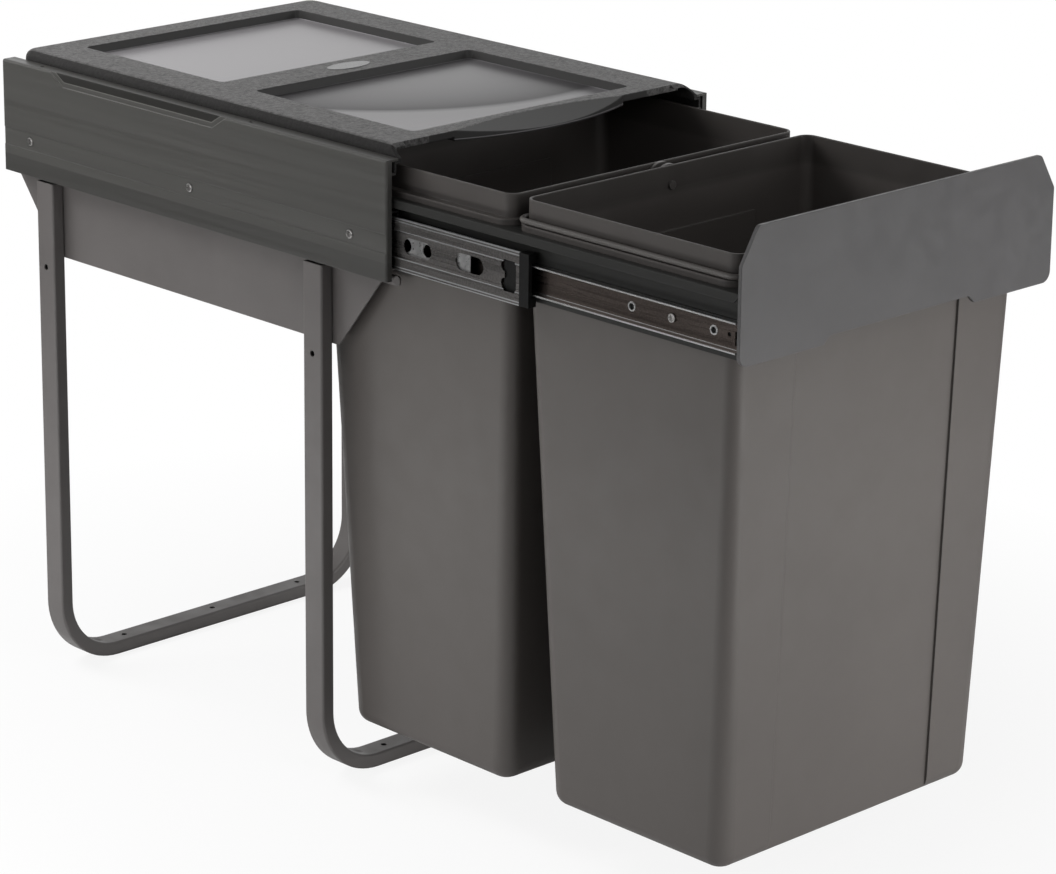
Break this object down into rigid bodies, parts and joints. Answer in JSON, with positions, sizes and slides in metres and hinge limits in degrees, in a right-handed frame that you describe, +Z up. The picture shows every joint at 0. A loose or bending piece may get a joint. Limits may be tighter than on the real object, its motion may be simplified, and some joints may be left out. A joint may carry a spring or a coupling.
{
  "type": "pull out bin frame",
  "caption": "Under-counter pull-out waste frame: bent tube legs, ball slides, drawer carrier with front panel, lift-out bins with bail handles and a sliding lid.",
  "frame": {"origin": "middle screw hole of the rear base tube, on the cabinet floor", "axes": "+X to the right seen from the front, -Y the way the drawer pulls out, +Z up"},
  "size_m": [0.3516, 0.84, 0.547],
  "materials": {
    "frame_steel": "satin grey powder coat",
    "cover": "fine grain",
    "fastener": "zinc plated",
    "slide_steel": "bright zinc plated",
    "slide_plastic": "smooth",
    "ball_steel": "polished",
    "cage_steel": "zinc plated",
    "carrier": "satin grey powder coat",
    "panel": "satin grey powder coat",
    "bin": "fine satin",
    "handle": "satin",
    "lid": "fine grain",
    "badge": "satin"
  },
  "bodies": {
    "fixed_frame": {"rear_tube_frame": "frame_steel", "front_tube_frame": "frame_steel", "cover_screws": "fastener", "side_plate_left": "frame_steel", "side_plate_right": "frame_steel", "side_cover_left": "cover", "side_cover_right": "cover", "slide_outer_left": "slide_steel", "slide_outer_right": "slide_steel"},
    "carriage": {"carrier_front_rail": "carrier", "carrier_middle_rail": "carrier", "carrier_rear_rail": "carrier", "front_panel": "panel", "panel_screws": "fastener", "slide_screws": "fastener", "slide_inner_left": "slide_steel", "slide_inner_right": "slide_steel", "carrier_side_left": "carrier", "carrier_side_right": "carrier"},
    "lid": {"lid": "lid", "lid_badge": "badge"},
    "middle_rail_left": {"slide_middle_left": "slide_steel", "slide_end_cap_left": "slide_plastic"},
    "outer_cage_left": {"outer_ball_cage_left": "cage_steel", "outer_balls_left": "ball_steel"},
    "inner_cage_left": {"inner_ball_cage_left": "slide_plastic", "inner_balls_left": "ball_steel"},
    "middle_rail_right": {"slide_middle_right": "slide_steel", "slide_end_cap_right": "slide_plastic"},
    "outer_cage_right": {"outer_ball_cage_right": "cage_steel", "outer_balls_right": "ball_steel"},
    "inner_cage_right": {"inner_ball_cage_right": "slide_plastic", "inner_balls_right": "ball_steel"},
    "bin_front": {"bin_front": "bin", "handle_pins_front": "handle"},
    "handle_front": {"bin_handle_front": "handle"},
    "bin_rear": {"bin_rear": "bin", "handle_pins_rear": "handle"},
    "handle_rear": {"bin_handle_rear": "handle"}
  },
  "joints": [
    {"name": "drawer_slide", "type": "slide", "parent": "fixed_frame", "child": "carriage", "axis": [0, -1, 0], "range_m": [-0.351, 0.099]},
    {"name": "middle_rail_slide_left", "type": "slide", "parent": "fixed_frame", "child": "middle_rail_left", "axis": [0, -1, 0], "range_m": [-0.1755, 0.0495]},
    {"name": "outer_cage_slide_left", "type": "slide", "parent": "fixed_frame", "child": "outer_cage_left", "axis": [0, -1, 0], "range_m": [-0.08775, 0.02475]},
    {"name": "inner_cage_slide_left", "type": "slide", "parent": "fixed_frame", "child": "inner_cage_left", "axis": [0, -1, 0], "range_m": [-0.26325, 0.07425]},
    {"name": "middle_rail_slide_right", "type": "slide", "parent": "fixed_frame", "child": "middle_rail_right", "axis": [0, -1, 0], "range_m": [-0.1755, 0.0495]},
    {"name": "outer_cage_slide_right", "type": "slide", "parent": "fixed_frame", "child": "outer_cage_right", "axis": [0, -1, 0], "range_m": [-0.08775, 0.02475]},
    {"name": "inner_cage_slide_right", "type": "slide", "parent": "fixed_frame", "child": "inner_cage_right", "axis": [0, -1, 0], "range_m": [-0.26325, 0.07425]},
    {"name": "lid_slide", "type": "slide", "parent": "fixed_frame", "child": "lid", "axis": [0, -1, 0], "range_m": [0, 0.3]},
    {"name": "bin_lift_front", "type": "slide", "parent": "carriage", "child": "bin_front", "axis": [0, 0, 1], "range_m": [0, 0.5]},
    {"name": "bin_lift_rear", "type": "slide", "parent": "carriage", "child": "bin_rear", "axis": [0, 0, 1], "range_m": [0, 0.004]},
    {"name": "handle_swing_front", "type": "hinge", "parent": "bin_front", "child": "handle_front", "pos_m": [0, -0.6615, 0.5065], "axis": [0, 1, 0], "range_deg": [0, 180]},
    {"name": "handle_swing_rear", "type": "hinge", "parent": "bin_rear", "child": "handle_rear", "pos_m": [0, -0.4345, 0.5065], "axis": [0, -1, 0], "range_deg": [0, 5]}
  ],
  "couplings": [
    {"joint": "middle_rail_slide_left", "follows": "drawer_slide", "ratio": 0.5},
    {"joint": "outer_cage_slide_left", "follows": "drawer_slide", "ratio": 0.25},
    {"joint": "inner_cage_slide_left", "follows": "drawer_slide", "ratio": 0.75},
    {"joint": "middle_rail_slide_right", "follows": "drawer_slide", "ratio": 0.5},
    {"joint": "outer_cage_slide_right", "follows": "drawer_slide", "ratio": 0.25},
    {"joint": "inner_cage_slide_right", "follows": "drawer_slide", "ratio": 0.75}
  ]
}
